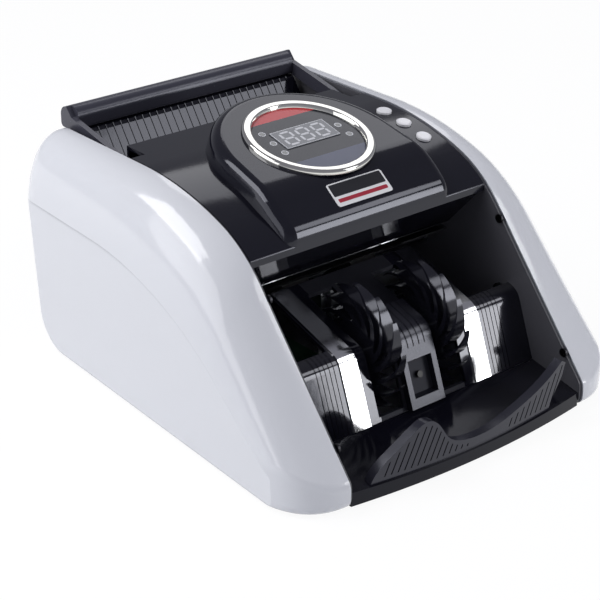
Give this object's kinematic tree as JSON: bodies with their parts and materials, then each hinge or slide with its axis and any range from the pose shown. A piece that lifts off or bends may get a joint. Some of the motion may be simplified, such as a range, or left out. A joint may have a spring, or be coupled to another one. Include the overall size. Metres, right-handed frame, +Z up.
{
  "type": "banknote counting machine",
  "caption": "Desktop banknote counter with a top hopper, tilted round display, finger-wheel stacker, front note tray, folding carry handle and rounded white side covers.",
  "frame": {"origin": "middle of the underside, on the surface that the feet stand on", "axes": "+X to the machine's right seen from its front, +Y to its rear, +Z up"},
  "size_m": [0.2754, 0.31, 0.178],
  "materials": {
    "cover_white": "smooth, softly glossy",
    "black_gloss": "glossy moulded",
    "black_matte": "satin moulded",
    "display_dark": "printed face, smooth",
    "window": "smoky clear window",
    "lamp": "clear lens",
    "zinc": "zinc plated sheet",
    "steel": "ground",
    "chrome": "polished",
    "polished_strip": "polished",
    "rubber": "matt",
    "pulley": "moulded nylon",
    "wheel": "flexible moulding",
    "board": "coated",
    "core": "varnished laminations",
    "sensor": "moulded",
    "button_white": "smooth",
    "rocker": "smooth"
  },
  "bodies": {
    "chassis": {"base_pan": "zinc", "rubber_feet": "rubber", "note_tray": "black_gloss", "note_fence": "black_gloss", "left_side_cover": "cover_white", "right_side_cover": "cover_white", "left_cheek": "black_matte", "right_cheek": "black_matte", "left_frame_plate": "zinc", "right_frame_plate": "zinc", "tie_rods": "steel", "shaft_bearings": "steel", "case_screws": "steel", "top_cover": "black_gloss", "throat_panel": "black_gloss", "bezel_ring": "chrome", "display_face": "display_dark", "digit_module": "window", "indicator_leds": "lamp", "control_boards": "board", "rear_cover": "black_matte", "hopper_bed": "black_gloss", "guide_plates": "steel", "retard_block": "black_matte", "retard_pad": "rubber", "stacker_plate": "black_gloss", "guide_strips": "polished_strip", "sensor_block": "black_gloss", "optical_sensors": "sensor", "drive_motor": "zinc", "transformer": "core", "main_board": "board", "drive_belt": "rubber", "transport_belt": "rubber", "stacker_belt": "rubber", "pickup_belt": "rubber", "power_inlet": "black_matte", "switch_frame": "black_matte"},
    "motor_rotor": {"motor_pulley": "steel"},
    "feed": {"feed_shaft": "steel", "feed_rollers": "rubber", "feed_pulleys": "pulley"},
    "pickup": {"pickup_shaft": "steel", "pickup_rollers": "rubber", "pickup_pulley": "pulley"},
    "transport": {"transport_shaft": "steel", "transport_rollers": "rubber", "transport_pulleys": "pulley", "encoder_disc": "black_matte"},
    "pinch": {"pinch_shaft": "steel", "pinch_rollers": "rubber"},
    "stacker": {"stacker_shaft": "steel", "stacker_wheels": "wheel", "stacker_pulley": "pulley"},
    "handle": {"carry_handle": "black_gloss"},
    "rear_key": {"rear_button": "button_white"},
    "middle_key": {"middle_button": "button_white"},
    "front_key": {"front_button": "button_white"},
    "rocker": {"power_rocker": "rocker"},
    "adjuster": {"adjuster_knob": "black_matte"}
  },
  "joints": [
    {"name": "feed_spin", "type": "hinge", "parent": "chassis", "child": "feed", "pos_m": [0, 0.092, 0.082], "axis": [1, 0, 0], "continuous": true},
    {"name": "motor_spin", "type": "hinge", "parent": "chassis", "child": "motor_rotor", "pos_m": [0, 0.04, 0.037], "axis": [1, 0, 0], "continuous": true},
    {"name": "pickup_spin", "type": "hinge", "parent": "chassis", "child": "pickup", "pos_m": [0, 0.1252, 0.1159], "axis": [1, 0, 0], "continuous": true},
    {"name": "transport_spin", "type": "hinge", "parent": "chassis", "child": "transport", "pos_m": [0, 0.005, 0.0724], "axis": [1, 0, 0], "continuous": true},
    {"name": "pinch_spin", "type": "hinge", "parent": "chassis", "child": "pinch", "pos_m": [0, 0.005, 0.0988], "axis": [1, 0, 0], "continuous": true},
    {"name": "stacker_spin", "type": "hinge", "parent": "chassis", "child": "stacker", "pos_m": [0, -0.073, 0.056], "axis": [1, 0, 0], "continuous": true},
    {"name": "handle_fold", "type": "hinge", "parent": "chassis", "child": "handle", "pos_m": [0, 0.078, 0.147], "axis": [1, 0, 0], "range_deg": [0, 95]},
    {"name": "rear_button_press", "type": "slide", "parent": "chassis", "child": "rear_key", "axis": [0, 0.0837, -0.9965], "range_m": [0, 0.0012], "stiffness_N_per_m": 600},
    {"name": "middle_button_press", "type": "slide", "parent": "chassis", "child": "middle_key", "axis": [0, 0.1711, -0.9853], "range_m": [0, 0.0012], "stiffness_N_per_m": 600},
    {"name": "front_button_press", "type": "slide", "parent": "chassis", "child": "front_key", "axis": [0, 0.2571, -0.9664], "range_m": [0, 0.0012], "stiffness_N_per_m": 600},
    {"name": "power_switch", "type": "hinge", "parent": "chassis", "child": "rocker", "pos_m": [0.014, 0.1485, 0.034], "axis": [1, 0, 0], "range_deg": [0, 24]},
    {"name": "feed_gap_adjust", "type": "hinge", "parent": "chassis", "child": "adjuster", "pos_m": [0, 0.079, 0.158], "axis": [0, 0, 1], "range_deg": [-360, 360]}
  ],
  "couplings": [
    {"joint": "motor_spin", "follows": "feed_spin", "ratio": 2},
    {"joint": "pickup_spin", "follows": "feed_spin", "ratio": 1.25},
    {"joint": "transport_spin", "follows": "feed_spin", "ratio": 1},
    {"joint": "pinch_spin", "follows": "feed_spin", "ratio": -2.25},
    {"joint": "stacker_spin", "follows": "feed_spin", "ratio": 0.29167}
  ]
}
